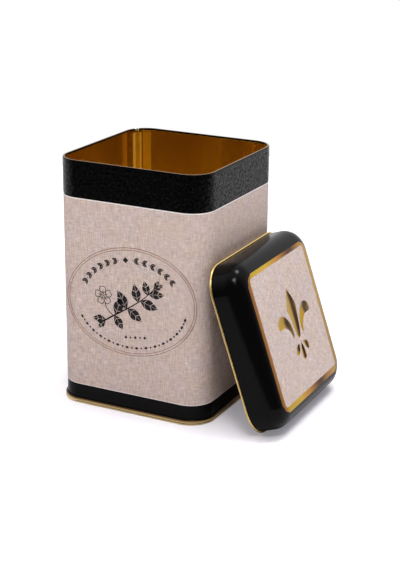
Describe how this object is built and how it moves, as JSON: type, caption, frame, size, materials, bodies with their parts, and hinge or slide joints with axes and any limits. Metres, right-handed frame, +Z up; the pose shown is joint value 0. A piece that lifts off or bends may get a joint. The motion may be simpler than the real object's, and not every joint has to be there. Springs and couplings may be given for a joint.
{
  "type": "tea canister",
  "caption": "Square tinplate tea canister with linen-look sides, black bands and a seamed gold base, standing open with its black slip lid leaning on one side.",
  "frame": {"origin": "centre of the canister's foot, on the surface that it stands on", "axes": "+Z up along the canister, +X towards the side that the lid leans on, -Y towards the front with the oval print"},
  "size_m": [0.1216, 0.0841, 0.1229],
  "materials": {
    "printed_tinplate": "tinplate printed with a matt pinkish beige linen weave between black bands, gold lacquered inside",
    "gold_lacquer": "bright tinplate under transparent gold lacquer",
    "black_lacquer": "tinplate in glossy black lacquer, gold lacquered inside and at the curled edge"
  },
  "bodies": {
    "root": {"canister_wall": "printed_tinplate", "canister_base": "gold_lacquer", "lid": "black_lacquer"}
  },
  "joints": []
}
